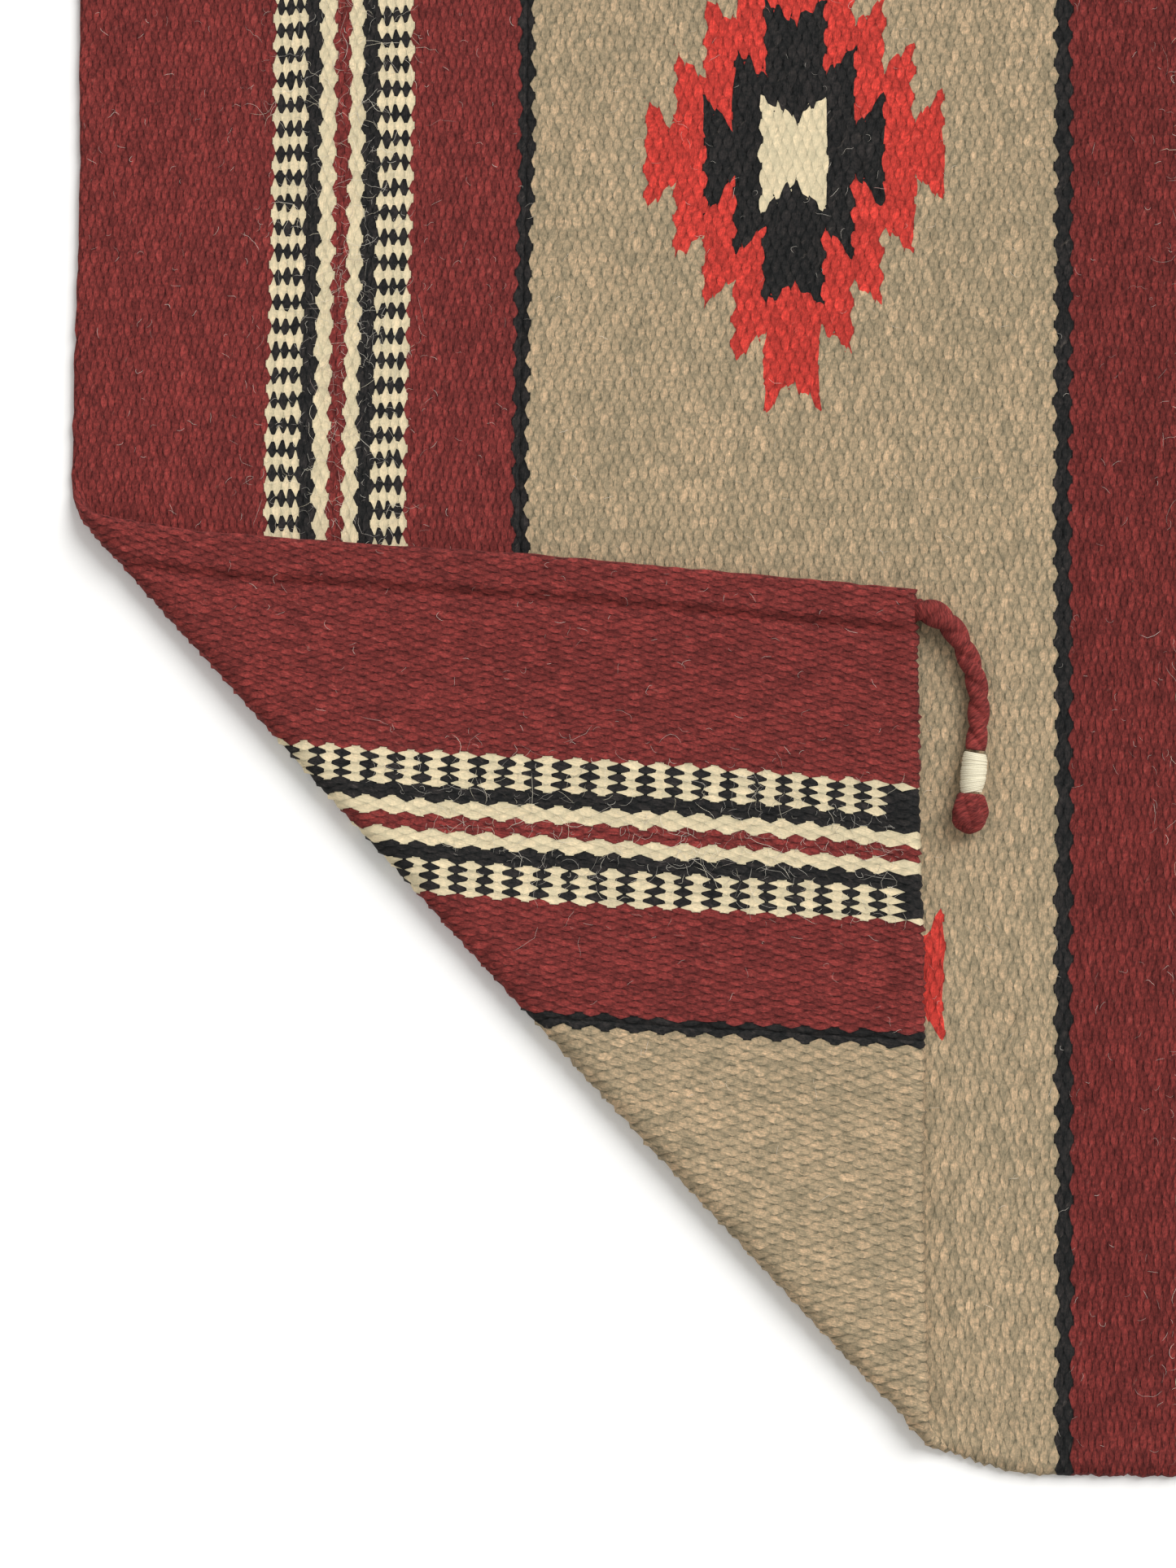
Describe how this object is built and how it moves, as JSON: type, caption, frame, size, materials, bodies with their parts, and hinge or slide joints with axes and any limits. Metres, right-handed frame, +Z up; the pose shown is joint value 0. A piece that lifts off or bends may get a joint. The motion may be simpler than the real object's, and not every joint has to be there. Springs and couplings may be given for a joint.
{
  "type": "table runner",
  "caption": "Long weft-faced wool table runner with striped ends, serrated diamond panels, hemmed ends, corner tassels and one corner folded over on a hinge line.",
  "frame": {"origin": "centre of the runner's footprint on the surface it lies on, measured without the corner tassels", "axes": "+X along the runner's length, away from the end with the folded corner; +Y across its width, towards the long edge that isn't folded; +Z up, out of the face that shows"},
  "size_m": [1.8288, 0.4138, 0.0099],
  "materials": {
    "maroon_wool": "matt hand-spun wool, dyed maroon",
    "black_wool": "matt hand-spun wool, black",
    "cream_wool": "matt hand-spun wool, undyed cream",
    "beige_wool": "matt hand-spun wool, undyed grey-beige",
    "red_wool": "matt hand-spun wool, dyed bright red",
    "striped_wool": "matt wool, cream, black and maroon picks woven in turn",
    "diamond_wool": "matt wool, red, black and cream tapestry areas",
    "whipping_yarn": "smooth cream cotton yarn wound tight"
  },
  "bodies": {
    "runner": {"left_hem": "maroon_wool", "left_end_band": "maroon_wool", "left_outer_checker": "striped_wool", "left_outer_black_stripe": "black_wool", "left_outer_cream_stripe": "cream_wool", "left_middle_maroon_stripe": "maroon_wool", "left_inner_cream_stripe": "cream_wool", "left_inner_black_stripe": "black_wool", "left_inner_checker": "striped_wool", "left_maroon_border": "maroon_wool", "left_outer_line": "black_wool", "left_panel_ground": "beige_wool", "left_upper_diamond_red": "red_wool", "left_upper_diamond_black": "black_wool", "left_upper_diamond_cream": "cream_wool", "left_lower_diamond_red": "red_wool", "left_lower_diamond_black": "black_wool", "left_lower_diamond_cream": "cream_wool", "left_inner_line": "black_wool", "left_striped_field": "maroon_wool", "centre_left_line": "black_wool", "centre_panel_ground": "beige_wool", "centre_upper_diamond": "diamond_wool", "centre_lower_diamond": "diamond_wool", "centre_right_line": "black_wool", "right_striped_field": "maroon_wool", "right_inner_line": "black_wool", "right_panel_ground": "beige_wool", "right_upper_diamond": "diamond_wool", "right_lower_diamond": "diamond_wool", "right_outer_line": "black_wool", "right_maroon_border": "maroon_wool", "right_stripes": "striped_wool", "right_end_band": "maroon_wool", "right_hem": "maroon_wool", "left_upper_tassel_cord": "maroon_wool", "left_upper_tassel_whipping": "whipping_yarn", "left_upper_tassel_knot": "maroon_wool", "right_upper_tassel_cord": "maroon_wool", "right_upper_tassel_whipping": "whipping_yarn", "right_upper_tassel_knot": "maroon_wool", "right_lower_tassel_cord": "maroon_wool", "right_lower_tassel_whipping": "whipping_yarn", "right_lower_tassel_knot": "maroon_wool"},
    "folded_corner": {"folded_hem": "maroon_wool", "folded_end_band": "maroon_wool", "folded_outer_checker": "striped_wool", "folded_outer_black_stripe": "black_wool", "folded_outer_cream_stripe": "cream_wool", "folded_middle_maroon_stripe": "maroon_wool", "folded_inner_cream_stripe": "cream_wool", "folded_inner_black_stripe": "black_wool", "folded_inner_checker": "striped_wool", "folded_maroon_border": "maroon_wool", "folded_outer_line": "black_wool", "folded_panel_ground": "beige_wool", "folded_tassel_cord": "maroon_wool", "folded_tassel_whipping": "whipping_yarn", "folded_tassel_knot": "maroon_wool"}
  },
  "joints": [
    {"name": "corner_fold", "type": "hinge", "parent": "runner", "child": "folded_corner", "pos_m": [-0.82, -0.09188, 0.00315], "axis": [0.6743, -0.7385, 0], "range_deg": [0, 178]}
  ]
}
